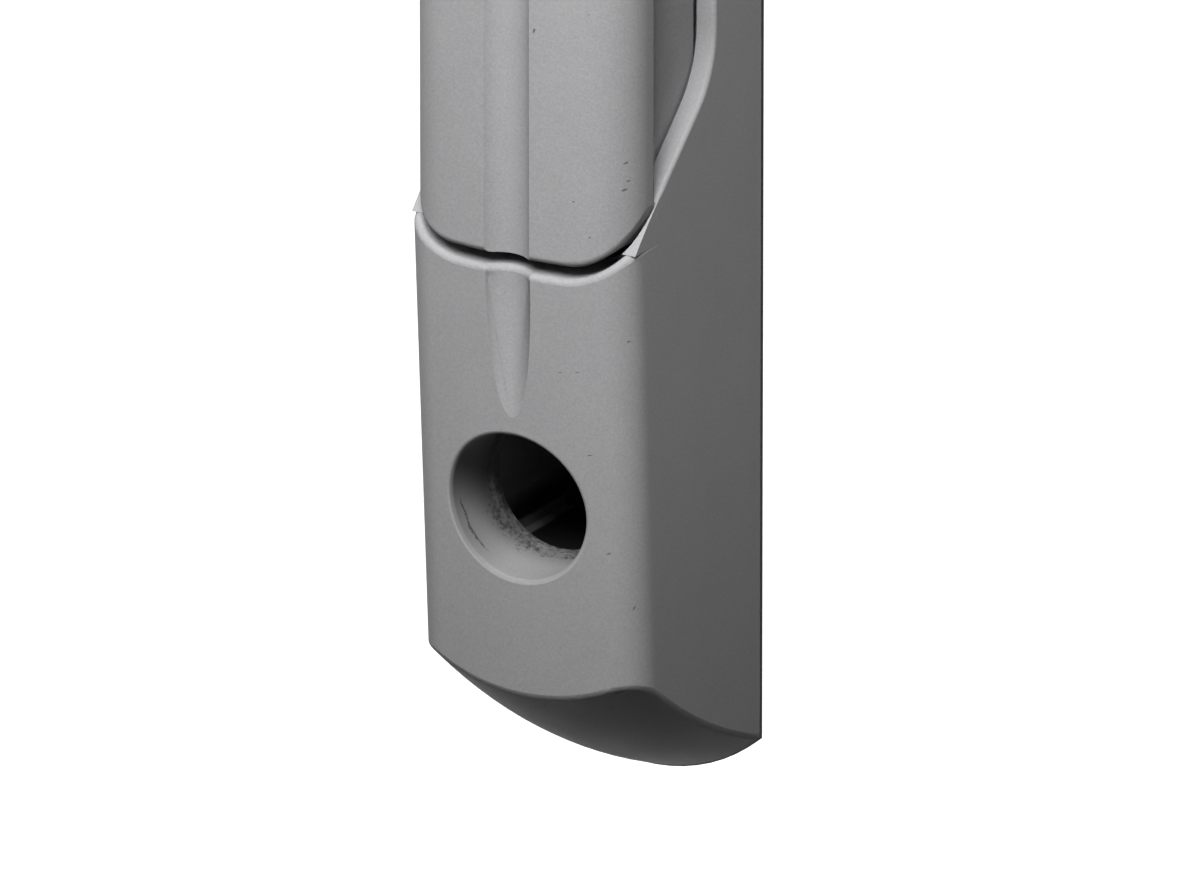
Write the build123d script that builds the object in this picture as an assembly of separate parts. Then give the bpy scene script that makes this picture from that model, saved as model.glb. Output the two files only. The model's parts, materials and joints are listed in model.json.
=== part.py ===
from build123d import *
from math import atan, cos, degrees, radians, sin, sqrt, tan
import os

# millimetres: X runs across the handle, Y into the door, Z up, origin on the swivel axis at the door
handle_width = 35.0
half_width = handle_width / 2
crown_radius = 73.0
block_edge_radius = 5.5
plan_end_radius = 25.6
top_z = 24.0

# lock hole and the block that carries it
hole_z = -188.0
hole_radius = 10.5
hole_edge_radius = 0.6
hole_length = 10.5
hole_lip_radius = 9.75
hole_lip_length = 1.6
block_front_depth = 36.5
block_front_slope = 0.055
block_below_hole = 48.8
bottom_z = hole_z - block_below_hole
end_profile_radius = 102.0
end_profile_lean = 19.8
end_edge_limit = hole_z - 15.0
front_edge_radius = 1.2
wall_edge_radius = 0.6

# low side walls and the sweep that lifts them to the block
rim_depth = 13.4
rim_sweep_foot_z = hole_z + 58.5
rim_sweep_head_z = hole_z + 37.8
rim_sweep_head_depth = 35.9
rim_foot_radius = 14.0
recess_end_z = hole_z + 34.6
recess_corner_radius = 10.55
recess_edge_radius = 0.8

# door side
gasket_thickness = 1.2
gasket_inset = 0.3
back_y = -gasket_thickness
floor_thickness = 3.4
floor_y = back_y - floor_thickness

# lever
lever_half = half_width - 0.3
lever_front_depth = 38.6
lever_edge_radius = 7.5
lever_cap_back = 29.0
lever_back_depth = 13.7
lever_end_z = hole_z + 36.5
lever_corner_radius = 8.6
outline_overlap = 0.03
lever_body_half = 14.3
lever_body_corner = 7.0
lever_wall = 3.2
lever_side_gap = 0.35
cap_overrun = 0.8
cap_floor_gap = 0.5
lever_end_radius = 1.0
groove_width = 7.2
groove_depth = 2.0
groove_radius = ((groove_width / 2) ** 2 + groove_depth ** 2) / (2 * groove_depth)
groove_top_z = -34.0
groove_tip_z = hole_z + 13.0
groove_tip_radius = 0.6
groove_run_out = 22.0
groove_overrun = 1.5
lever_front_wall = 5.0
pocket_corner = 3.0
relief_start_z = 1.0

# swivel
pad_z = -17.0
pad_depth = 9.0
shaft_radius = 8.0
running_gap = 0.05
bush_radius = 10.0
press_gap = 0.01
bush_flange_radius = 12.8
bush_flange = 0.8
spigot_radius = 12.2
spigot_length = 10.0
rotor_flange_radius = 13.6
rotor_flange_front = 12.9
tongue_half = 6.0
tongue_radius = 7.0
pin_depth = 22.0
pin_radius = 2.5
pin_running_gap = 0.03
slot_gap = 0.15
slot_front_gap = 1.2
slot_bottom_z = -14.5
lever_tilt_limit = 20.0
ring_thickness = 1.2
ring_radius = 11.0
ring_groove_radius = 7.0
ring_side_gap = 0.05
o_ring_radius = 0.7
o_ring_y = -4.0
square_size = 9.0
square_gap = 0.05
shaft_end_y = 12.6

# end stop of the swing
stop_angle = 45.0
swing_angle = 90.0
stop_track_radius = 10.9
stop_pin_radius = 1.5
stop_pin_depth = 11.7
stop_pin_root = 6.0
stop_slot_gap = 0.2
stop_slot_floor = 11.9
hole_gap = 0.2

# locking cam on the rear of the shaft
cam_thickness = 3.0
cam_width = 20.0
cam_reach = 42.0
cam_washer_radius = 9.0
cam_washer_thickness = 1.5
cam_screw_radius = 2.5
cam_screw_length = 12.0
cam_screw_head_radius = 4.75
cam_screw_head = 3.2

# latch slide between the lock chamber and the lever end
chamber_half = 12.0
chamber_top_z = hole_z + 12.5
chamber_bottom_z = hole_z - 12.5
slide_half = 8.0
slide_front = 21.0
slide_back = 15.9
slide_gap = 0.1
slide_travel = 6.0
slide_tip_gap = 0.5
nose_half = 4.0
channel_end_z = hole_z + 30.5
slide_stop_gap = 0.3
slide_bottom_z = hole_z + 13.0
drive_notch_half = 2.5
drive_notch_height = 3.0

# keeper in the lever end
notch_half = 5.5
notch_front = 21.8
notch_top_z = lever_end_z + 8.5
keeper_half = 9.0
keeper_thickness = 1.8
keeper_inset = 0.1
keeper_top_z = lever_end_z + 14.0
keeper_screw_x = 5.0
keeper_screw_z = lever_end_z + 11.2
small_screw_radius = 1.25
small_screw_head_radius = 2.4
small_screw_length = 6.0
small_screw_head = 1.2

# rear cover, guide and brake spring
cover_half = 14.0
cover_top_z = hole_z + 34.0
cover_bottom_z = hole_z - 20.0
cover_thickness = 2.0
cover_gap = 0.1
cover_corner = 3.0
cover_screw_top = (11.2, hole_z + 29.0)
cover_screw_bottom = (9.0, hole_z - 16.4)
brake_strip = 0.35
brake_width = 6.0
brake_half = 3.6
brake_bow = 1.9
brake_gap = 0.02
brake_z = hole_z + 19.0

# fixing threads and the buffer
fixing_radius = 2.5
fixing_top_z = -34.0
fixing_bottom_z = hole_z - 30.0
fixing_depth = 10.0
fixing_boss_radius = 5.5
fixing_boss_depth = 11.8
buffer_radius = 4.0
buffer_z = lever_end_z + 18.5
buffer_boss_depth = 10.0
buffer_gap = 0.05
buffer_stem_radius = 1.6
buffer_stem = 3.0

wide = 60.0
end_sections = 6

# places worked out from the values above
hole_floor = block_front_depth - hole_length
chamber_front = hole_floor - hole_lip_length
cover_depth = cover_thickness - back_y
stop_place = (stop_track_radius * cos(radians(stop_angle)), stop_track_radius * sin(radians(stop_angle)))
cover_screw_places = [(s * x, z) for x, z in (cover_screw_top, cover_screw_bottom) for s in (-1, 1)]
keeper_screw_places = [(s * keeper_screw_x, keeper_screw_z) for s in (-1, 1)]
keeper_back = lever_back_depth + keeper_inset
keeper_front = keeper_back + keeper_thickness
head_taper = degrees(atan((small_screw_head_radius - small_screw_radius) / small_screw_head))
lever_pockets = [(lever_end_z + 22.0, -96.0), (-93.0, -59.0), (-56.0, -20.0)]
rotor_flange_back = pad_depth + bush_flange + running_gap
cam_front_y = shaft_end_y + running_gap
cam_back_y = cam_front_y + cam_thickness
square_end_y = cam_front_y + cam_thickness - 0.15


def front_prism(outline, front_depth, back):
    """A plan outline in X and Z, from this depth in front of the door back to Y = back."""
    plane = Plane(origin=(0, back, 0), x_dir=(1, 0, 0), z_dir=(0, -1, 0))
    return extrude(plane * outline, amount=front_depth + back)


def side_prism(outline, half):
    """A side outline in Y and Z, run to both sides of the middle."""
    return extrude(Plane.YZ * outline, amount=half, both=True)


def shaft(radius, front_depth, back, x=0.0, z=0.0):
    """A round bar along Y."""
    return front_prism(Pos(x, z) * Circle(radius), front_depth, back)


def block(half, front_depth, back, low, high):
    """A plain block, the same to both sides of the middle."""
    return front_prism(Pos(0, (low + high) / 2) * Rectangle(2 * half, high - low), front_depth, back)


def end_sag(x, radius):
    return radius - sqrt(radius ** 2 - x ** 2)


def tongue_outline(half, low, corner, head):
    """A long outline: square end with rounded corners at low, half round about the swivel."""
    length = abs(low) + head
    bar = Pos(0, low + length / 2) * Rectangle(2 * half, length)
    return fillet(bar.vertices().group_by(Axis.Y)[0], corner)


def crown_section(half, depth, edge, back):
    """The section of a crowned front with rounded edges, in X and Y."""
    shoulder = depth - end_sag(half, crown_radius)
    arc = ThreePointArc((-half, -shoulder), (0, -depth), (half, -shoulder))
    sides = Polyline((half, -shoulder), (half, back), (-half, back), (-half, -shoulder))
    face = make_face(arc + sides)
    return fillet(face.vertices().group_by(Axis.Y)[0], edge)


def screws(places, seat, length, into):
    """Countersunk screws along Y: seat is the head's flat, into is +1 towards the door, -1 away."""
    out = None
    for x, z in places:
        tip = seat + into * length
        shank = shaft(small_screw_radius, -min(seat, tip), max(seat, tip), x, z)
        plane = Plane(origin=(x, seat, z), x_dir=(1, 0, 0), z_dir=(0, into, 0))
        head = extrude(
            plane * Circle(small_screw_head_radius),
            amount=small_screw_head,
            taper=degrees(atan((small_screw_head_radius - small_screw_radius) / small_screw_head)),
        )
        slot = plane * Pos(0, 0, small_screw_head / 4) * Box(0.6, 3.2, small_screw_head / 2 + 0.02)
        screw = shank + head - slot
        out = screw if out is None else out + screw
    return out


def plan_outline(inset):
    half = half_width - inset
    low = bottom_z + inset
    high = top_z - inset
    sag = end_sag(half, plan_end_radius)
    bottom = ThreePointArc((-half, low + sag), (0, low), (half, low + sag))
    top = ThreePointArc((half, high - sag), (0, high), (-half, high - sag))
    right = Line((half, low + sag), (half, high - sag))
    left = Line((-half, high - sag), (-half, low + sag))
    return make_face(bottom + right + top + left)


def front_depth(z):
    """How far the block's front stands out at this height, on the middle line."""
    return block_front_depth + block_front_slope * (z - hole_z)


def front_form():
    """The crowned, slightly receding front of the block."""
    length = top_z - bottom_z + 60
    section = crown_section(half_width, block_front_depth, block_edge_radius, 20)
    bar = Pos(0, block_front_depth, -length / 2 - 20) * extrude(section, amount=length * 1.6)
    lean = degrees(atan(block_front_slope))
    return Pos(0, -block_front_depth, hole_z) * Rot(lean, 0, 0) * bar


def rim_cut():
    """What is taken off in front of the low walls, with the sweep up to the block."""
    fall = (rim_sweep_foot_z - rim_sweep_head_z) / (rim_sweep_head_depth - rim_depth)
    start_z = rim_sweep_head_z - fall * (wide - rim_sweep_head_depth)
    path = Polyline(
        (-wide, start_z),
        (-rim_depth, rim_sweep_foot_z),
        (-rim_depth, top_z + 5),
        (-wide, top_z + 5),
        (-wide, start_z),
    )
    face = make_face(path)
    foot = face.vertices().sort_by_distance((-rim_depth, rim_sweep_foot_z))[0]
    face = fillet(foot, rim_foot_radius)
    return side_prism(face, wide)


def end_rise(depth):
    """How far the middle of the lower end has risen at this depth in front of the door."""
    start = end_profile_radius * sin(radians(end_profile_lean))
    return end_sag(start + depth, end_profile_radius) - end_sag(start, end_profile_radius)


def end_cut():
    """The domed lower end: the plan arc carried forward along a rounded, rising profile."""
    faces = []
    reach = half_width + 4
    sag = end_sag(reach, plan_end_radius)
    step = (block_front_depth + 4) / end_sections
    for index in range(-1, end_sections + 1):
        z = bottom_z + end_rise(index * step)
        arc = ThreePointArc((-reach, z + sag), (0, z), (reach, z + sag))
        below = Polyline(
            (reach, z + sag),
            (reach, bottom_z - wide),
            (-reach, bottom_z - wide),
            (-reach, z + sag),
        )
        plane = Plane(origin=(0, -index * step, 0), x_dir=(1, 0, 0), z_dir=(0, -1, 0))
        faces.append(plane * make_face(arc + below))
    return loft(faces)


def make_housing():
    body = front_prism(plan_outline(0), wide, back_y)
    body &= front_form()
    body -= rim_cut()
    body -= end_cut()
    low_edges = body.edges().filter_by(
        lambda e: e.center().Z < end_edge_limit and -wide < e.center().Y < back_y - 1
    )
    body = fillet(low_edges, front_edge_radius)
    wall_edges = body.edges().filter_by(
        lambda e: abs(abs(e.center().X) - half_width) < 0.3
        and e.center().Y < 1 - rim_depth
        and e.center().Z > recess_end_z
    )
    body = fillet(wall_edges, wall_edge_radius)

    # recess for the lever: a wide step for its cap, then a narrower well for its body
    cap_half = half_width + cap_overrun
    cap = tongue_outline(cap_half, recess_end_z, recess_corner_radius, top_z + wide)
    body -= front_prism(cap, wide, -(lever_cap_back - cap_floor_gap))
    well_half = lever_body_half + lever_side_gap
    well = tongue_outline(well_half, recess_end_z, lever_body_corner, 0) + Circle(well_half)
    body -= front_prism(well, lever_cap_back, -pad_depth)
    length = pad_z - recess_end_z
    dish = Pos(0, recess_end_z + length / 2) * Rectangle(2 * well_half, length)
    dish = fillet(dish.vertices(), lever_body_corner)
    body -= front_prism(dish, lever_cap_back, floor_y)

    # swivel spigot with the bore for the bush
    body += shaft(spigot_radius, 3, spigot_length)
    body -= shaft(bush_radius + press_gap, pad_depth + 1, spigot_length + 1)

    # bosses in the dish
    body += shaft(fixing_boss_radius, fixing_boss_depth, back_y - 1, 0, fixing_top_z)
    body += shaft(buffer_radius + 1, buffer_boss_depth, back_y - 1, 0, buffer_z)
    body -= shaft(buffer_stem_radius + press_gap, buffer_boss_depth + 1, floor_y, 0, buffer_z)
    for z in (fixing_top_z, fixing_bottom_z):
        body -= shaft(fixing_radius, fixing_depth - back_y, 5, 0, z)

    # stop pin hole in the pad
    body -= shaft(stop_pin_radius + press_gap, pad_depth + 1, -stop_pin_root, *stop_place)

    # lock hole, its lip, the chamber and the slide's channel
    body -= shaft(hole_radius, wide, -hole_floor, 0, hole_z)
    body -= shaft(hole_lip_radius, hole_floor + 1, -chamber_front, 0, hole_z)
    body -= block(chamber_half, chamber_front, 5, chamber_bottom_z, chamber_top_z)
    front = slide_front + slide_gap
    body -= block(slide_half + slide_gap, front, 5, chamber_top_z - 1, channel_end_z)
    nose = block(nose_half + slide_gap, front, -(slide_back - slide_gap), channel_end_z - 1, recess_end_z + 1)
    body -= nose
    seat_low = cover_bottom_z - cover_gap
    seat_high = cover_top_z + cover_gap
    cover_seat = block(cover_half + cover_gap, cover_depth, 5, seat_low, seat_high)
    cover_seat = fillet(cover_seat.edges().filter_by(Axis.Y), cover_corner)
    body -= cover_seat
    for x, z in cover_screw_places:
        body -= shaft(small_screw_radius + press_gap, cover_depth + small_screw_length, 0, x, z)

    # cove above the lock hole
    body -= block_groove()
    hole_edges = body.edges().filter_by(
        lambda e: e.length > 2 * hole_radius
        and e.center().Y < -hole_floor - 3
        and abs(e.center().X) < hole_radius + 1
        and abs(e.center().Z - hole_z) < hole_radius + 1
    )
    body = fillet(hole_edges, hole_edge_radius)
    end_edges = body.edges().filter_by(
        lambda e: e.center().Y < groove_depth + 1 - front_depth(recess_end_z)
        and abs(e.center().Z - recess_end_z) < 0.9
    )
    body = fillet(end_edges, recess_edge_radius)
    return body


def block_groove():
    """The cove above the lock hole, which thins out to a rounded tip."""
    start_z = recess_end_z + groove_overrun
    start_centre = front_depth(recess_end_z) + groove_radius - groove_depth
    tip_centre = front_depth(groove_tip_z) + groove_tip_radius
    return cone_between(groove_radius, start_centre, start_z, groove_tip_radius, tip_centre, groove_tip_z)


def lever_groove():
    straight_top = groove_top_z - groove_run_out
    centre = lever_front_depth + groove_radius - groove_depth
    length = straight_top - lever_end_z + 5
    bar = Pos(0, -centre, lever_end_z - 5) * extrude(Circle(groove_radius), amount=length)
    tip_centre = lever_front_depth + groove_tip_radius
    tip = cone_between(groove_radius, centre, straight_top, groove_tip_radius, tip_centre, groove_top_z)
    return bar + tip


def cone_between(radius_a, depth_a, z_a, radius_b, depth_b, z_b):
    """A cove cutter that goes from one round to a smaller one."""
    rounds = sorted([(z_a, depth_a, radius_a), (z_b, depth_b, radius_b)])
    return loft([Plane(origin=(0, -depth, z)) * Circle(radius) for z, depth, radius in rounds])


def make_lever():
    outline = tongue_outline(lever_half + outline_overlap, lever_end_z, lever_corner_radius, 0)
    section = crown_section(lever_half, lever_front_depth, lever_edge_radius, -lever_cap_back)
    length = abs(lever_end_z)
    cap = Pos(0, 0, lever_end_z) * extrude(section, amount=length)
    cap &= front_prism(outline, wide, 0)
    half_section = section & Pos(wide / 2, -lever_front_depth) * Rectangle(wide, wide)
    head = revolve(half_section, Axis.Y, 360) & block(wide, wide, 5, 0, wide)
    body_low = tongue_outline(lever_body_half, lever_end_z, lever_body_corner, 0)
    core = body_low + Circle(lever_body_half)
    core = front_prism(core, lever_cap_back + 1, -lever_back_depth)
    body = cap + head
    end_edge = body.edges().filter_by(
        lambda e: e.center().Z < lever_end_z + 0.2 and e.center().Y < 1 - lever_front_depth
    )
    body = fillet(end_edge, lever_end_radius)
    body += core
    body -= lever_groove()

    # open back with cross walls
    for low, high in lever_pockets:
        pocket = Pos(0, (low + high) / 2) * Rectangle(2 * (lever_body_half - lever_wall), high - low)
        pocket = fillet(pocket.vertices(), pocket_corner)
        body -= front_prism(pocket, lever_front_depth - lever_front_wall, 0)

    # slot for the rotor's tongue, and the slope behind the pin that lets the head tip back
    slot_front = pin_depth + tongue_radius + slot_front_gap
    body -= block(tongue_half + slot_gap, slot_front, 0, slot_bottom_z, wide)
    body -= head_relief()
    body -= Pos(0, -pin_depth, 0) * Rot(0, 90, 0) * Cylinder(pin_radius + press_gap, 2 * wide)

    # notch for the slide's nose, with the keeper's seat behind it
    body -= block(notch_half, notch_front, -keeper_front, lever_end_z - 5, notch_top_z)
    body -= block(keeper_half + keeper_inset, keeper_front, 0, lever_end_z - 5, keeper_top_z + keeper_inset)
    for x, z in keeper_screw_places:
        body -= shaft(small_screw_radius + press_gap, keeper_back + small_screw_length, 0, x, z)
    return body


def head_relief():
    """What is taken off behind the pin so that the head can tip back when the lever lifts."""
    reach = wide / 2
    rise = reach * tan(radians(lever_tilt_limit))
    corner = Polyline(
        (-lever_back_depth, relief_start_z),
        (-lever_back_depth - rise, relief_start_z + reach),
        (5, relief_start_z + reach),
        (5, relief_start_z),
        (-lever_back_depth, relief_start_z),
    )
    return side_prism(make_face(corner), wide)


def make_rotor():
    body = shaft(rotor_flange_radius, rotor_flange_front, -rotor_flange_back)
    body += shaft(shaft_radius, rotor_flange_back + 1, shaft_end_y)
    tongue = block(tongue_half, pin_depth, -rotor_flange_back - 1, -tongue_radius, tongue_radius)
    tongue += Pos(0, -pin_depth, 0) * Rot(0, 90, 0) * Cylinder(tongue_radius, 2 * tongue_half)
    body += tongue
    body -= Pos(0, -pin_depth, 0) * Rot(0, 90, 0) * Cylinder(pin_radius + pin_running_gap, wide)
    square = front_prism(Rectangle(square_size, square_size), -shaft_end_y + 1, square_end_y)
    body += square
    body -= shaft(cam_screw_radius + press_gap, 0, square_end_y + 1) & shaft(
        20, cam_screw_length - square_end_y, 40
    )
    ring_y = spigot_length + ring_side_gap
    body -= shaft(shaft_radius + 1, -ring_y, ring_y + ring_thickness + 0.1) - shaft(
        ring_groove_radius, -ring_y, ring_y + ring_thickness + 0.1
    )
    half_groove = o_ring_radius + 0.2
    o_back = o_ring_y + half_groove
    body -= shaft(shaft_radius + 1, -(o_ring_y - half_groove), o_back) - shaft(
        shaft_radius - 2 * o_ring_radius, -(o_ring_y - half_groove), o_back
    )
    body -= stop_track()
    return body


def stop_track():
    """The curved slot in the back of the flange that the stop pin runs in."""
    half = stop_pin_radius + stop_slot_gap
    ring = shaft(stop_track_radius + half, stop_slot_floor, -rotor_flange_back + 1) - shaft(
        stop_track_radius - half, stop_slot_floor, -rotor_flange_back + 1
    )
    low = stop_angle - swing_angle
    points = [(0, 0)]
    for step in range(7):
        angle = radians(low + swing_angle * step / 6)
        points.append((30 * cos(angle), 30 * sin(angle)))
    points.append((0, 0))
    wedge = front_prism(make_face(Polyline(*points)), wide, 5)
    ends = [
        shaft(
            half,
            stop_slot_floor,
            -rotor_flange_back + 1,
            stop_track_radius * cos(radians(a)),
            stop_track_radius * sin(radians(a)),
        )
        for a in (low, stop_angle)
    ]
    return (ring & wedge) + ends[0] + ends[1]


def make_bush():
    body = shaft(bush_radius, pad_depth, spigot_length)
    body += shaft(bush_flange_radius, pad_depth + bush_flange, -pad_depth)
    body -= shaft(shaft_radius + running_gap, wide, wide)
    body -= shaft(stop_pin_radius + 0.1, wide, 0, *stop_place)
    return body


def make_cam():
    tongue = Pos(cam_reach / 2, 0) * Rectangle(cam_reach, cam_width)
    tongue = fillet(tongue.vertices().group_by(Axis.X)[-1], 4)
    plan = tongue + Circle(cam_width / 2) - Rectangle(square_size + 2 * square_gap, square_size + 2 * square_gap)
    return front_prism(plan, -cam_front_y, cam_front_y + cam_thickness)


def make_cam_washer():
    body = shaft(cam_washer_radius, -cam_back_y, cam_back_y + cam_washer_thickness)
    return body - shaft(cam_screw_radius + hole_gap, 0, wide)


def make_cam_screw():
    seat = cam_back_y + cam_washer_thickness
    head = front_prism(RegularPolygon(cam_screw_head_radius, 6), -seat, seat + cam_screw_head)
    head = chamfer(head.edges().group_by(Axis.Y)[-1], 0.4)
    tip = square_end_y - cam_screw_length + 1
    return head + shaft(cam_screw_radius, -tip, seat)


def make_gasket():
    body = front_prism(plan_outline(gasket_inset), gasket_thickness, 0)
    body -= shaft(spigot_radius + 0.3, 5, 5)
    for z in (fixing_top_z, fixing_bottom_z):
        body -= shaft(fixing_radius + 1, 5, 5, 0, z)
    return body


def make_slide():
    shoulder = channel_end_z - slide_travel - slide_stop_gap
    tip = recess_end_z - slide_tip_gap
    body = block(slide_half, slide_front, -slide_back, slide_bottom_z, shoulder)
    body += block(nose_half, slide_front, -slide_back, shoulder - 1, tip)
    nose_front = body.edges().group_by(Axis.Z)[-1].sort_by(Axis.Y)[0]
    body = chamfer(nose_front, 1.5)
    body -= block(drive_notch_half, wide, 5, slide_bottom_z - 1, slide_bottom_z + drive_notch_height)
    return body


def make_guide():
    front = slide_back - slide_gap
    body = block(slide_half, front, -cover_depth, slide_bottom_z + 0.5, channel_end_z - 0.1)
    pocket_half = brake_half + 0.6
    depth = brake_bow + brake_strip + 0.2
    low = brake_z - pocket_half
    body -= block(brake_width / 2 + 0.3, front + 1, -(front - depth), low, brake_z + pocket_half)
    return body


def make_brake_spring():
    """A bowed strip: its crown bears on the slide, its ends on the floor of the guide's pocket."""
    crown = slide_back - brake_gap
    foot = crown - brake_bow
    outer = ThreePointArc((-foot, brake_z - brake_half), (-crown, brake_z), (-foot, brake_z + brake_half))
    inner = ThreePointArc(
        (-foot + brake_strip, brake_z - brake_half),
        (-crown + brake_strip, brake_z),
        (-foot + brake_strip, brake_z + brake_half),
    )
    ends = Line((-foot, brake_z + brake_half), (-foot + brake_strip, brake_z + brake_half)) + Line(
        (-foot + brake_strip, brake_z - brake_half), (-foot, brake_z - brake_half)
    )
    return side_prism(make_face(outer + inner + ends), brake_width / 2)


def make_cover():
    body = block(cover_half, cover_depth, back_y - 0.05, cover_bottom_z, cover_top_z)
    body = fillet(body.edges().filter_by(Axis.Y), cover_corner - cover_gap)
    for x, z in cover_screw_places:
        body -= shaft(small_screw_head_radius + 0.1, -back_y + small_screw_head + 0.2, 5, x, z)
        body -= shaft(small_screw_radius + 0.15, wide, 5, x, z)
    return body


def make_keeper():
    body = block(keeper_half, keeper_front, -keeper_back, lever_end_z + keeper_inset, keeper_top_z)
    for x, z in keeper_screw_places:
        body -= shaft(small_screw_radius + 0.15, wide, 5, x, z)
        plane = Plane(origin=(x, -keeper_back, z), x_dir=(1, 0, 0), z_dir=(0, -1, 0))
        body -= extrude(plane * Circle(small_screw_head_radius + 0.1), amount=small_screw_head, taper=head_taper)
    return body


def make_buffer():
    top = lever_back_depth - buffer_gap
    body = shaft(buffer_radius, top, -buffer_boss_depth, 0, buffer_z)
    body += shaft(buffer_stem_radius, buffer_boss_depth + 1, -(buffer_boss_depth - buffer_stem), 0, buffer_z)
    return body


def make_ring():
    y = spigot_length + ring_side_gap
    body = shaft(ring_radius, -y, y + ring_thickness) - shaft(ring_groove_radius, -y + 1, y + 5)
    gap = front_prism(Pos(0, -ring_radius) * Rectangle(7, 2 * ring_radius - 4), 0, 30)
    return body - gap


nodes = {
    "housing": make_housing(),
    "door_gasket": make_gasket(),
    "rotor_bush": make_bush(),
    "stop_pin": shaft(stop_pin_radius, stop_pin_depth, -stop_pin_root, *stop_place),
    "lever_buffer": make_buffer(),
    "latch_guide": make_guide(),
    "brake_spring": make_brake_spring(),
    "rear_cover": make_cover(),
    "cover_screws": screws(cover_screw_places, back_y - 0.3, small_screw_length, -1),
    "rotor": make_rotor(),
    "rotor_o_ring": Pos(0, o_ring_y, 0) * Rot(90, 0, 0) * Torus(shaft_radius - o_ring_radius, o_ring_radius),
    "retaining_ring": make_ring(),
    "cam": make_cam(),
    "cam_washer": make_cam_washer(),
    "cam_screw": make_cam_screw(),
    "lever": make_lever(),
    "lever_pin": Pos(0, -pin_depth, 0) * Rot(0, 90, 0) * Cylinder(pin_radius, 2 * lever_body_half - 0.4),
    "keeper_plate": make_keeper(),
    "keeper_screws": screws(keeper_screw_places, -keeper_back, small_screw_length, -1),
    "latch_slide": make_slide(),
}
os.makedirs("parts", exist_ok=True)
for name, solid in nodes.items():
    solid.label = name
    export_step(solid, f"parts/{name}.step")
    print(name, round(solid.volume, 1), len(solid.solids()))
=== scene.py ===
import json
import math
import bpy
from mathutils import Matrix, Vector


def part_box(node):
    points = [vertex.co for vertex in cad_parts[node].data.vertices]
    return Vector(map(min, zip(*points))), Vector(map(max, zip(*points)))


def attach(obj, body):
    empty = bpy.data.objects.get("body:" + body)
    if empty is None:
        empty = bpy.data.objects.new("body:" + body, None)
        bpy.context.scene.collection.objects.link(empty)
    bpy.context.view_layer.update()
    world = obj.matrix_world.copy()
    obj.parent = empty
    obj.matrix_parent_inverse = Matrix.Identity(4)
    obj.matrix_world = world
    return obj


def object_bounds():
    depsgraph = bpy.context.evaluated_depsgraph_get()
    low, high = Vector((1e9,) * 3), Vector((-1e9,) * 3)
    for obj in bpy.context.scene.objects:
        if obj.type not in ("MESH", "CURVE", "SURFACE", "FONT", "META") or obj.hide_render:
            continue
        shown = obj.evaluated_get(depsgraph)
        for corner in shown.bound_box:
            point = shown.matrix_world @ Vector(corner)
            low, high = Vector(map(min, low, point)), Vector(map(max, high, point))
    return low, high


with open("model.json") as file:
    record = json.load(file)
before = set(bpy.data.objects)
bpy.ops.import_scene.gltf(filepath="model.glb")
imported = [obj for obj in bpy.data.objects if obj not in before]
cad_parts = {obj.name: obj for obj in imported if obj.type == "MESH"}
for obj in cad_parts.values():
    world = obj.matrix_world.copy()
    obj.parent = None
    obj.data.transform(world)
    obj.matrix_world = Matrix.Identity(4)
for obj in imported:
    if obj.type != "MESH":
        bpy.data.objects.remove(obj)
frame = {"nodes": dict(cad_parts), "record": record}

cadLow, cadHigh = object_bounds()
mm = 0.001


class Wire:
    # one output socket; sums written with it become Math nodes
    def __init__(self, graph, socket):
        self.graph = graph
        self.socket = socket

    def __add__(self, other):
        return self.graph.math("ADD", self, other)

    def __radd__(self, other):
        return self.graph.math("ADD", other, self)

    def __sub__(self, other):
        return self.graph.math("SUBTRACT", self, other)

    def __rsub__(self, other):
        return self.graph.math("SUBTRACT", other, self)

    def __mul__(self, other):
        return self.graph.math("MULTIPLY", self, other)

    def __rmul__(self, other):
        return self.graph.math("MULTIPLY", other, self)

    def atMost(self, other):
        return self.graph.math("MINIMUM", self, other)

    def atLeast(self, other):
        return self.graph.math("MAXIMUM", self, other)

    def rises(self, start, end):
        # 0 up to start and 1 from end on, with a soft step between; end may be the smaller
        sockets = {"Value": self, "From Min": start, "From Max": end}
        return self.graph.node("ShaderNodeMapRange", {"interpolation_type": "SMOOTHSTEP"}, sockets)


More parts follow.
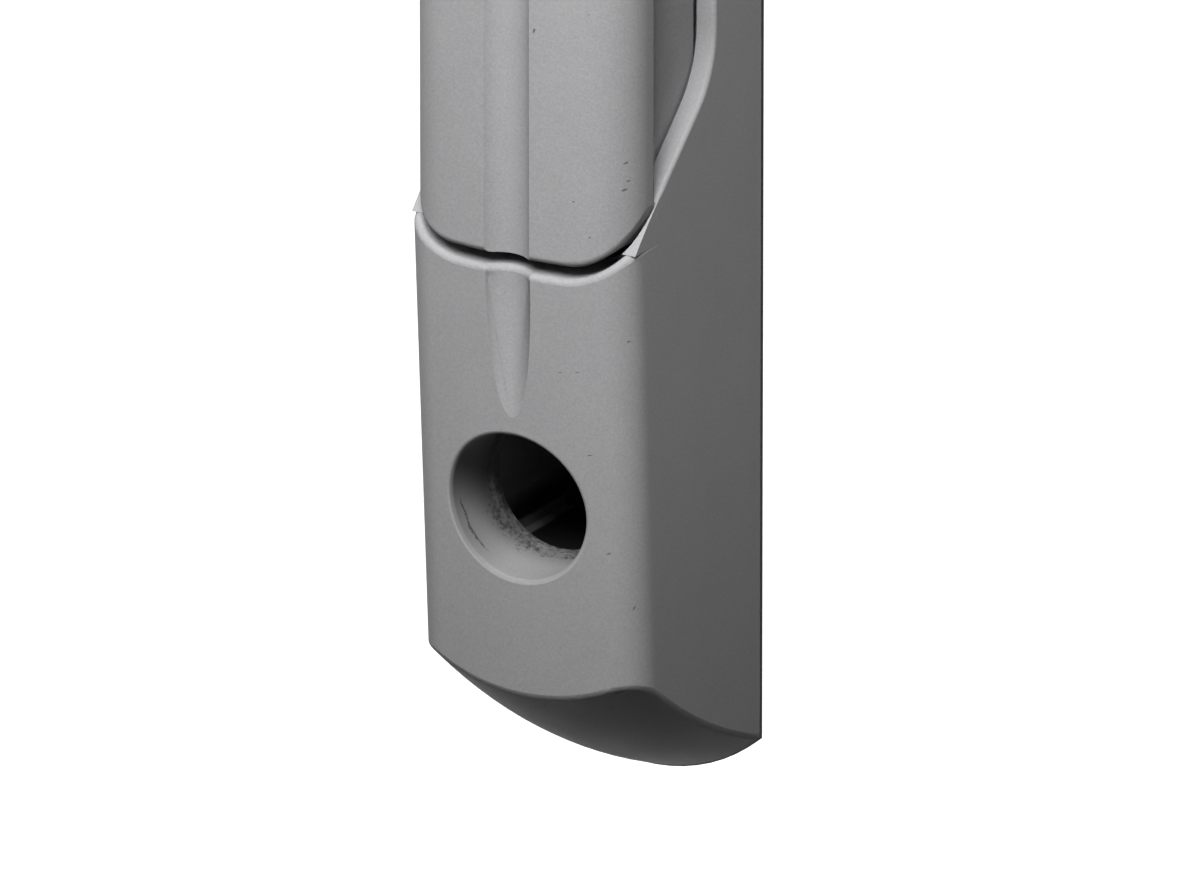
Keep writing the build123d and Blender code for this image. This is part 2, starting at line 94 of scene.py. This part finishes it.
class Graph:
    # the node tree of a material or the world
    def __init__(self, tree):
        self.tree = tree
        self.tree.nodes.clear()

    def node(self, kind, settings=None, sockets=None, out=0):
        made = self.tree.nodes.new(kind)
        for name, value in (settings or {}).items():
            setattr(made, name, value)
        for name, value in (sockets or {}).items():
            if isinstance(value, Wire):
                self.tree.links.new(value.socket, made.inputs[name])
            else:
                made.inputs[name].default_value = value
        return Wire(self, made.outputs[out]) if made.outputs else made

    def math(self, operation, first, second):
        return self.node("ShaderNodeMath", {"operation": operation}, {0: first, 1: second})

    def vector(self, operation, first, second, out="Vector"):
        return self.node("ShaderNodeVectorMath", {"operation": operation}, {0: first, 1: second}, out)

    def tint(self, mask, under, over):
        # colour under where the mask is 0 and over where it is 1
        return self.node("ShaderNodeMix", {"data_type": "RGBA"}, {"Factor": mask, "A": under, "B": over}, 2)

    def place(self):
        return self.node("ShaderNodeTexCoord", out="Object")

    def axis(self, place, name):
        return self.node("ShaderNodeSeparateXYZ", {}, {"Vector": place}, name)

    def noise(self, place, size, detail=2.0, roughness=0.5):
        # soft noise whose features are about size metres across
        sockets = {"Vector": place, "Scale": 1 / size, "Detail": detail, "Roughness": roughness}
        return self.node("ShaderNodeTexNoise", {}, sockets)

    def pits(self, place, spacing, radius):
        # 1 in small round pits, about one in each cell of the given spacing
        sockets = {"Vector": place, "Scale": 1 / spacing, "Randomness": 1.0}
        distance = self.node("ShaderNodeTexVoronoi", {}, sockets, "Distance")
        return distance.rises(radius / spacing, 0.6 * radius / spacing)

    def bump(self, height, depth):
        # depth is the height in metres that a value of 1 stands for
        return self.node("ShaderNodeBump", {}, {"Height": height, "Distance": depth, "Strength": 1.0})


def grey(level, cool=0.0):
    # a grey as a linear colour, from its level on a 0 to 255 scale
    # cool leans it to blue or, below 0, to yellow
    linear = (level / 255) ** 2.2
    return (linear, linear, linear * (1 + cool), 1.0)


def finish(name, build, **look):
    # a material whose surface is what build makes from the look
    made = bpy.data.materials.new(name)
    made.use_nodes = True
    graph = Graph(made.node_tree)
    surface = graph.node("ShaderNodeBsdfPrincipled", {}, build(graph, **look))
    graph.node("ShaderNodeOutputMaterial", {}, {"Surface": surface})
    return made


def dress(material, *nodeNames):
    for name in nodeNames:
        for slot in frame["nodes"][name].material_slots:
            slot.material = material


# Places that the finishes and the camera are tied to

housingLow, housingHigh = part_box("housing")
leverLow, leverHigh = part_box("lever")
mounts = {m["name"]: m for m in frame["record"]["mounts"]}
lockHole = Vector(mounts["lock_hole"]["pos_m"])
lockHoleRadius = mounts["lock_hole"]["dims"]["r_mm"] * mm

# Marks on the front: x across and z above the lock hole, and the radius, all in mm; slant in degrees

leverMarks = [
    {"x": 4.3, "z": 69.5, "radius": 0.20, "stretch": 2.2, "slant": 75},
    {"x": 12.2, "z": 72.9, "radius": 0.13, "stretch": 1.0, "slant": 0},
    {"x": 12.3, "z": 75.6, "radius": 0.11, "stretch": 1.0, "slant": 0},
    {"x": 16.1, "z": 51.6, "radius": 0.17, "stretch": 1.6, "slant": 30},
    {"x": 16.3, "z": 49.0, "radius": 0.13, "stretch": 1.3, "slant": 10},
    {"x": 16.0, "z": 47.8, "radius": 0.18, "stretch": 1.6, "slant": 20},
    {"x": 10.1, "z": 46.1, "radius": 0.15, "stretch": 1.0, "slant": 0},
    {"x": 12.3, "z": 41.3, "radius": 0.14, "stretch": 1.0, "slant": 0},
]
blockMarks = [
    {"x": 10.1, "z": 21.5, "radius": 0.10, "stretch": 3.0, "slant": 10},
    {"x": 7.6, "z": 21.1, "radius": 0.09, "stretch": 2.5, "slant": 5},
    {"x": 16.6, "z": 26.3, "radius": 0.15, "stretch": 1.2, "slant": 0},
    {"x": 11.6, "z": 9.6, "radius": 0.09, "stretch": 3.5, "slant": 15},
    {"x": 13.8, "z": -4.5, "radius": 0.12, "stretch": 2.6, "slant": 12},
    {"x": 16.4, "z": -12.5, "radius": 0.10, "stretch": 4.0, "slant": 70},
    {"x": 2.6, "z": -29.2, "radius": 0.16, "stretch": 1.3, "slant": 0},
    {"x": 11.8, "z": -28.4, "radius": 0.17, "stretch": 1.2, "slant": 0},
    {"x": 14.2, "z": -24.9, "radius": 0.20, "stretch": 5.5, "slant": 14},
]

coatLook = {
    "roughness": 0.58,
    "gloss": 0.04,
    "grainSize": 0.42 * mm,
    "grainDepth": 0.02 * mm,
    "mottleSize": 9 * mm,
    "speckSpacing": 16 * mm,
    "speckRadius": 0.12 * mm,
    "toneRange": 12,  # levels lighter and darker than the shade
    "cool": 0.02,
    "speckShade": 60,
    "markShade": 62,
    "markStrength": 0.62,
    "raggedSize": 0.3 * mm,
    "frontFrom": -26 * mm,  # marks lie only in front of this depth
    "frontTo": -29 * mm,
}


def markMask(graph, place, mark, ragged):
    # 1 inside one mark, seen from the front, with a ragged edge
    slant = math.radians(mark["slant"])
    along = Vector((math.cos(slant), 0, math.sin(slant)))
    across = Vector((-math.sin(slant), 0, math.cos(slant)))
    radius = mark["radius"] * mm
    centre = Vector((mark["x"] * mm, 0, lockHole.z + mark["z"] * mm))
    offset = graph.vector("SUBTRACT", place, centre)
    a = graph.vector("DOT_PRODUCT", offset, along, "Value") * (1 / mark["stretch"])
    b = graph.vector("DOT_PRODUCT", offset, across, "Value")
    far = graph.math("POWER", a * a + b * b, 0.5) + ragged * radius
    return far.rises(radius, 0.55 * radius)


def coatSurface(graph, place, marks, shade, look):
    # the satin grey coat with its marks: colour, roughness and height in metres
    grain = graph.noise(place, look["grainSize"], 3.0, 0.6)
    mottle = graph.noise(place, look["mottleSize"], 4.0, 0.6)
    fleck = graph.noise(place, look["grainSize"] * 0.8, 2.0, 0.7)
    specks = graph.pits(place, look["speckSpacing"], look["speckRadius"])
    tone = (mottle - 0.5) * 0.35 + (fleck - 0.5) * 1.3 + 0.5
    darker = grey(shade - look["toneRange"], look["cool"])
    lighter = grey(shade + look["toneRange"], look["cool"])
    colour = graph.tint(tone, darker, lighter)
    colour = graph.tint(specks * 0.6, colour, grey(look["speckShade"]))
    ragged = (graph.noise(place, look["raggedSize"], 2.0) - 0.5) * 1.4
    stain = 0.0
    for mark in marks:
        stain = markMask(graph, place, mark, ragged).atLeast(stain)
    stain = stain * graph.axis(place, "Y").rises(look["frontFrom"], look["frontTo"])
    colour = graph.tint(stain * look["markStrength"], colour, grey(look["markShade"]))
    rough = look["roughness"] + (mottle - 0.5) * 0.12 + specks * 0.2
    return colour, rough, (grain - specks * 1.5 - stain * 2.0) * look["grainDepth"]


def coat(graph, marks, shade, look):
    colour, rough, height = coatSurface(graph, graph.place(), marks, shade, look)
    return {
        "Base Color": colour,
        "Roughness": rough,
        "Normal": graph.bump(height, 1.0),
        "Specular IOR Level": look["gloss"],
    }


boreLook = {
    "coatEnd": 5.7 * mm,  # how far behind the lock hole's mark the coat ends
    "dirtWidth": 7.0 * mm,
    "dirtShade": 44,
    # chamber walls painted pale as painted light, its floor painted dark as painted shade where the key falls
    # on it
    "chamberShade": 165,
    "chamberFloorShade": 45,
    "chamberReach": 16.5 * mm,
    "lineDepth": 3.3 * mm,  # the dirt line's place in front of the lock hole's mark
    "lineWidth": 0.35 * mm,
}
frontLook = {
    "bowTop": 12.0 * mm,  # above the lock hole; the front bows back below it
    "bowRadius": 800 * mm,
    "coveFoot": 13.2 * mm,  # the tip of the cove's flame above the lock hole
    "coveHead": 36.0 * mm,
    "coveRadius": 4.24 * mm,
    "coveDepth": 1.9 * mm,
    "cutFoot": 13.0 * mm,  # the straight cone that the part has there
    "cutHead": 36.1 * mm,
    "cutFootRadius": 0.6 * mm,
    "cutDepth": 2.08 * mm,
}


def sagitta(graph, x, radius, depth):
    # depth of a round groove at x, and 0 beside it
    inside = (radius * radius - x * x).atLeast(0.0)
    return (graph.math("POWER", inside, 0.5) - (radius - depth)).atLeast(0.0)


def frontForm(graph, place, look):
    # a height in metres for what the front has beyond the part's: the lower front's bow and the cove's flame
    x = graph.axis(place, "X")
    above = graph.axis(place, "Z") - lockHole.z
    below = (above - look["bowTop"]).atMost(0.0)
    bow = below * below * (0.5 / look["bowRadius"])
    fromHead = (look["coveHead"] - above) * (1 / (look["coveHead"] - look["coveFoot"]))
    flame = sagitta(graph, x, look["coveRadius"], (1 - fromHead * fromHead).atLeast(0.0) * look["coveDepth"])
    along = (above - look["cutFoot"]) * (1 / (look["cutHead"] - look["cutFoot"]))
    along = along.atLeast(0.0).atMost(1.0)
    cutRadius = along * (look["coveRadius"] - look["cutFootRadius"]) + look["cutFootRadius"]
    cut = sagitta(graph, x, cutRadius, along * look["cutDepth"])
    band = above.rises(look["coveHead"] - 1.2 * mm, look["coveHead"] - 3 * mm)
    onFront = graph.axis(place, "Y").rises(-28 * mm, -30 * mm)
    return bow * -1 - (flame - cut) * band * onFront


def housingCoat(graph, marks, shade, look, bore, front):
    # the coat, with the lock hole's dirt and painted shade, and the chamber behind it, whose walls are
    # painted pale and whose floor, which the key lights, is painted dark
    place = graph.place()
    colour, rough, height = coatSurface(graph, place, marks, shade, look)
    depth = graph.axis(place, "Y")
    fromAxis = graph.vector("MULTIPLY", graph.vector("SUBTRACT", place, lockHole), (1, 0, 1))
    radial = graph.vector("LENGTH", fromAxis, fromAxis, "Value")
    inBore = radial.rises(lockHoleRadius + 0.5 * mm, lockHoleRadius + 0.2 * mm)
    boreEnd = lockHole.y + bore["coatEnd"]
    deep = depth.rises(boreEnd - bore["dirtWidth"], boreEnd)
    crumbs = graph.noise(place, 0.6 * mm, 4.0, 0.7)
    patches = graph.noise(place, 3.5 * mm, 3.0, 0.6)
    above = graph.axis(place, "Z") - lockHole.z
    dirt = (deep * 0.42 + crumbs + (patches - 0.5) * 0.9).rises(0.74, 1.05) * inBore
    dirt = dirt * above.rises(3 * mm, -4 * mm)
    lineAt = lockHole.y - bore["lineDepth"] + (patches - 0.5) * 1.5 * mm
    line = graph.math("ABSOLUTE", depth - lineAt, 0.0).rises(bore["lineWidth"], 0.4 * bore["lineWidth"])
    onLeft = graph.axis(place, "X").rises(-3 * mm, -9 * mm)
    line = line * above.rises(-1 * mm, -2.5 * mm) * above.rises(-9 * mm, -7.5 * mm) * onLeft.rises(0.2, 0.4)
    dirt = dirt.atLeast(line * crumbs.rises(0.3, 0.6) * inBore)
    shadow = (deep * 0.3 + onLeft * 0.4 + 0.33) * inBore
    chamber = depth.rises(boreEnd, boreEnd + 0.3 * mm)
    inside = radial.rises(bore["chamberReach"], bore["chamberReach"] - 0.5 * mm) * chamber

    colour = graph.tint(shadow, colour, grey(110))
    colour = graph.tint(dirt * 0.7, colour, grey(bore["dirtShade"], -0.05))
    # painted light and shade in the chamber: pale walls light the dark hole, and a dark floor stands in for
    # shade where the key falls through the hole
    onFloor = above.rises(-6 * mm, -9.5 * mm)
    chamberColour = graph.tint(onFloor, grey(bore["chamberShade"]), grey(bore["chamberFloorShade"]))
    colour = graph.tint(inside, colour, chamberColour)
    height = height + dirt * 2 * look["grainDepth"] + frontForm(graph, place, front)
    return {
        "Base Color": colour,
        "Roughness": rough + dirt * 0.25 + inside * 0.2,
        "Normal": graph.bump(height, 1.0),
        "Specular IOR Level": look["gloss"],
    }


# painted light: the same coat is made 4 levels lighter on the housing than on the lever, so that the
# housing's front, which gets less light, shows as bright as the lever's
leverCoat = finish("satin grey coat on lever", coat, marks=leverMarks, shade=157, look=coatLook)
onBlock = {"marks": blockMarks, "shade": 161, "look": coatLook, "bore": boreLook, "front": frontLook}
blockCoat = finish("satin grey coat on housing", housingCoat, **onBlock)
dress(leverCoat, "lever")
dress(blockCoat, "housing")
print("coated castings done")

# The corners where the side walls meet the block, beside the lever's rounded end

cornerLook = {
    "foot": 38.5 * mm,  # above the lock hole, as all heights here
    "head": 44.8 * mm,
    "steps": 18,
    "outerHalf": 17.49 * mm,
    "leverHalf": 17.2 * mm,
    "leverEnd": 36.5 * mm,
    "leverCorner": 8.6 * mm,
    "headGap": 0.2 * mm,  # beside the lever's outline
    "footGap": 1.3 * mm,
    "footDip": 0.6 * mm,  # how far the foot runs out below the slope
    "back": 27.5 * mm,
    "slopeHead": 37.8 * mm,
    "slopeDepth": 35.55 * mm,
    "slopeRise": 0.92,
}


def wallCorners(look):
    # both corner pieces: quads across the wall, from its foot up to its head
    vertices = []
    faces = []
    steps = look["steps"]
    radius = look["leverCorner"]
    for side in (1, -1):
        start = len(vertices)
        for step in range(steps + 1):
            part = step / steps
            above = look["foot"] + (look["head"] - look["foot"]) * part
            fromCorner = max(look["leverEnd"] + radius - above, 0)
            outline = look["leverHalf"] - radius + math.sqrt(radius * radius - fromCorner * fromCorner)
            toFoot = (1 - part) ** 2
            inner = outline + look["headGap"] + (look["footGap"] - look["headGap"]) * toFoot
            outer = look["outerHalf"]
            back = -look["back"]
            front = (above - look["slopeHead"]) / look["slopeRise"] - look["slopeDepth"]
            front += look["footDip"] * toFoot
            for x, y in ((inner, back), (outer, back), (outer, front), (inner, front)):
                vertices.append((side * x, y, lockHole.z + above))
        rings = [[start + 4 * step + corner for corner in range(4)] for step in range(steps + 1)]
        for low, high in zip(rings, rings[1:]):
            for corner in range(4):
                after = (corner + 1) % 4
                faces.append((low[corner], low[after], high[after], high[corner])[::side])
        faces.append(tuple(rings[0])[::-side])
        faces.append(tuple(rings[-1])[::side])
    return vertices, faces


vertices, faces = wallCorners(cornerLook)
cornerMesh = bpy.data.meshes.new("wall_corners")
cornerMesh.from_pydata(vertices, [], faces)
cornerMesh.materials.append(blockCoat)
wallCorner = bpy.data.objects.new("wall_corners", cornerMesh)
bpy.context.scene.collection.objects.link(wallCorner)
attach(wallCorner, "base")
print("wall corners done")

bareZincLook = {"shade": 148, "roughness": 0.42, "grainSize": 0.6 * mm, "flowSize": 14 * mm}


def bareZinc(graph, shade, roughness, grainSize, flowSize):
    # die-cast zinc without a coat: dull, with cold-flow clouds and fine pits
    place = graph.place()
    grain = graph.noise(place, grainSize, 4.0, 0.6)
    flow = graph.noise(place, flowSize, 5.0, 0.65)
    pits = graph.pits(place, 2.6 * mm, 0.12 * mm)
    colour = graph.tint(flow.rises(0.35, 0.68), grey(shade - 18), grey(shade + 14, 0.02))
    return {
        "Base Color": graph.tint(pits * 0.7, colour, grey(60)),
        "Roughness": roughness + (flow - 0.5) * 0.3 + (grain - 0.5) * 0.12,
        "Metallic": 0.9,
        "Normal": graph.bump(grain - pits * 1.5, 0.02 * mm),
    }


platedLook = {"shade": 176, "roughness": 0.3, "brushLength": 6 * mm, "brushWidth": 0.25 * mm}


def platedSteel(graph, shade, roughness, brushLength, brushWidth, along=(0, 0, 1), cool=0.0):
    # rolled and zinc-plated steel: faint rolling lines, cloudy plating
    place = graph.place()
    stretch = Vector((1, 1, 1)) - Vector(along) * (1 - brushWidth / brushLength)
    lines = graph.noise(graph.vector("MULTIPLY", place, stretch), brushWidth, 3.0, 0.55)
    cloud = graph.noise(place, 5 * mm, 4.0, 0.6)
    colour = graph.tint(cloud.rises(0.3, 0.7), grey(shade - 12, cool), grey(shade + 10, cool * 0.3))
    colour = graph.tint((lines.rises(0.56, 0.72)) * 0.35, colour, grey(shade - 45))
    return {
        "Base Color": colour,
        "Roughness": roughness + (cloud - 0.5) * 0.18 + (lines - 0.5) * 0.2,
        "Metallic": 1.0,
        "Normal": graph.bump(lines, 0.006 * mm),
    }


rubberLook = {"shade": 30, "roughness": 0.78, "grainSize": 0.35 * mm}


def rubber(graph, shade, roughness, grainSize):
    # moulded black rubber with a dusty bloom
    place = graph.place()
    grain = graph.noise(place, grainSize, 3.0, 0.6)
    bloom = graph.noise(place, 4 * mm, 4.0, 0.6)
    return {
        "Base Color": graph.tint(bloom.rises(0.4, 0.75), grey(shade), grey(shade + 14)),
        "Roughness": roughness + (bloom - 0.5) * 0.2,
        "Normal": graph.bump(grain, 0.03 * mm),
        "Specular IOR Level": 0.3,
    }


nylonLook = {"shade": 42, "roughness": 0.5, "fibreSize": 0.2 * mm}


def nylon(graph, shade, roughness, fibreSize):
    # glass-filled moulded nylon: short pale fibres just under a satin skin
    place = graph.place()
    stretched = graph.vector("MULTIPLY", place, (1, 1, 0.12))
    fibre = graph.noise(stretched, fibreSize, 2.0, 0.6)
    skin = graph.noise(place, 0.5 * mm, 3.0, 0.6)
    return {
        "Base Color": graph.tint(fibre.rises(0.6, 0.8), grey(shade), grey(shade + 20)),
        "Roughness": roughness + (skin - 0.5) * 0.25,
        "Normal": graph.bump(skin, 0.02 * mm),
        "Specular IOR Level": 0.4,
    }


dress(finish("bare cast zinc", bareZinc, **bareZincLook), "rotor", "latch_slide")
dress(finish("plated steel plate", platedSteel, **platedLook), "cam", "keeper_plate")
# the rear cover is dark partly as a blackened finish and partly as painted shade, so that what the lamps
# light through the lock hole stays dark
dark = dict(platedLook, shade=52, roughness=0.5)
dress(finish("blackened steel with painted shade", platedSteel, **dark), "rear_cover")
plain = dict(platedLook, brushLength=1.5 * mm, shade=168)
hardware = finish("plated steel hardware", platedSteel, **plain)
dress(hardware, "cam_screw", "cam_washer", "keeper_screws", "cover_screws")
hard = dict(platedLook, shade=132, roughness=0.36)
hardSteel = finish("hard steel", platedSteel, cool=-0.04, **hard)
dress(hardSteel, "lever_pin", "stop_pin", "retaining_ring", "brake_spring")
dress(finish("black rubber", rubber, **rubberLook), "door_gasket", "lever_buffer", "rotor_o_ring")
dress(finish("black nylon", nylon, **nylonLook), "rotor_bush", "latch_guide")
print("inner pieces done")

# Camera, from the front, to the handle's right and from a little above

cameraLook = {
    "azimuth": 31,
    "elevation": 20.5,
    "lens": 800,
    "viewWidth": 159.7 * mm,  # what the picture's width takes in at the aim
    "aim": Vector((-0.00038, 0.01410, 0.00265)),  # from the lock hole's mouth
}


def direction(azimuth, elevation):
    # from the part towards a lamp or the camera; azimuth 0 is in front and 90 to the right
    a = math.radians(azimuth)
    e = math.radians(elevation)
    return Vector((math.sin(a) * math.cos(e), -math.cos(a) * math.cos(e), math.sin(e)))


def aimAt(thing, place, target):
    thing.location = place
    thing.rotation_mode = "QUATERNION"
    thing.rotation_quaternion = (target - place).to_track_quat("-Z", "Y")


cameraData = bpy.data.cameras.new("camera")
cameraData.lens = cameraLook["lens"]
camera = bpy.data.objects.new("camera", cameraData)
bpy.context.scene.collection.objects.link(camera)
bpy.context.scene.camera = camera
cameraAim = lockHole + cameraLook["aim"]
cameraDistance = cameraLook["viewWidth"] * cameraData.lens / cameraData.sensor_width
cameraBack = direction(cameraLook["azimuth"], cameraLook["elevation"])
aimAt(camera, cameraAim + cameraBack * cameraDistance, cameraAim)

# Light and ground

lampLooks = {
    "key": {"azimuth": 16, "elevation": 50, "distance": 0.5, "size": 0.3, "power": 4.0},
    "rightFill": {"azimuth": 125, "elevation": 30, "distance": 1.0, "size": 0.8, "power": 0.9},
    "leftFill": {"azimuth": -100, "elevation": 35, "distance": 1.1, "size": 0.8, "power": 2.3},
    "backFill": {"azimuth": 200, "elevation": 35, "distance": 1.1, "size": 0.8, "power": 7.0},
}
lampAim = Vector((0, -0.02, lockHole.z + 0.04))
for name, look in lampLooks.items():
    lampData = bpy.data.lights.new(name, "AREA")
    lampData.shape = "DISK"
    lampData.size = look["size"]
    lampData.energy = look["power"]
    lamp = bpy.data.objects.new(name, lampData)
    bpy.context.scene.collection.objects.link(lamp)
    aimAt(lamp, lampAim + direction(look["azimuth"], look["elevation"]) * look["distance"], lampAim)

surroundLook = {
    "dimmed": 0.045,  # what the white surround gives as light, where it shows as 1
    "floorDrop": 0.32,
    "floorHalf": 6.0,
    "unseenFloor": (0.03, 0.03, 0.03, 1),  # what light that bounces finds there
    "floorGlow": {"near": 0.55, "far": 1.0, "from": 0.5, "to": 1.6},
}


def seenDirectly(graph):
    # 1 for the rays that show the background itself, also in metal and glass
    seen = graph.node("ShaderNodeLightPath", out="Is Camera Ray")
    for kind in ("Is Glossy Ray", "Is Transmission Ray"):
        seen = seen.atLeast(graph.node("ShaderNodeLightPath", out=kind))
    return seen


world = bpy.data.worlds.new("white surround")
bpy.context.scene.world = world
world.use_nodes = True
worldGraph = Graph(world.node_tree)
worldLevel = seenDirectly(worldGraph) * (1 - surroundLook["dimmed"]) + surroundLook["dimmed"]
background = worldGraph.node("ShaderNodeBackground", {}, {"Color": (1, 1, 1, 1), "Strength": worldLevel})
worldGraph.node("ShaderNodeOutputWorld", {}, {"Surface": background})

floorHalf = surroundLook["floorHalf"]
floorHeight = cadLow.z - surroundLook["floorDrop"]
corners = [(-floorHalf, -floorHalf), (floorHalf, -floorHalf), (floorHalf, floorHalf), (-floorHalf, floorHalf)]
floorMesh = bpy.data.meshes.new("floor")
floorMesh.from_pydata([(x, y, floorHeight) for x, y in corners], [], [(0, 1, 2, 3)])
floor = bpy.data.objects.new("floor", floorMesh)
bpy.context.scene.collection.objects.link(floor)
floorMaterial = bpy.data.materials.new("pale floor")
floorMaterial.use_nodes = True
floorGraph = Graph(floorMaterial.node_tree)
paper = floorGraph.noise(floorGraph.place(), 3 * mm, 3.0)
paperColour = floorGraph.tint(paper, (0.78, 0.78, 0.78, 1), (0.82, 0.82, 0.82, 1))
seen = seenDirectly(floorGraph)
floorColour = floorGraph.tint(seen, surroundLook["unseenFloor"], paperColour)
matt = floorGraph.node("ShaderNodeBsdfDiffuse", {}, {"Color": floorColour})
glowLook = surroundLook["floorGlow"]
fromPart = floorGraph.vector("LENGTH", floorGraph.place(), (0, 0, 0), "Value")
glowRange = glowLook["far"] - glowLook["near"]
level = fromPart.rises(glowLook["from"], glowLook["to"]) * glowRange + glowLook["near"]
glow = floorGraph.node("ShaderNodeEmission", {}, {"Strength": seen * level})
lit = floorGraph.node("ShaderNodeAddShader", {}, {0: matt, 1: glow})
floorGraph.node("ShaderNodeOutputMaterial", {}, {"Surface": lit})
floorMesh.materials.append(floorMaterial)

bpy.context.scene.view_settings.view_transform = "Standard"
print("camera, light and ground done")
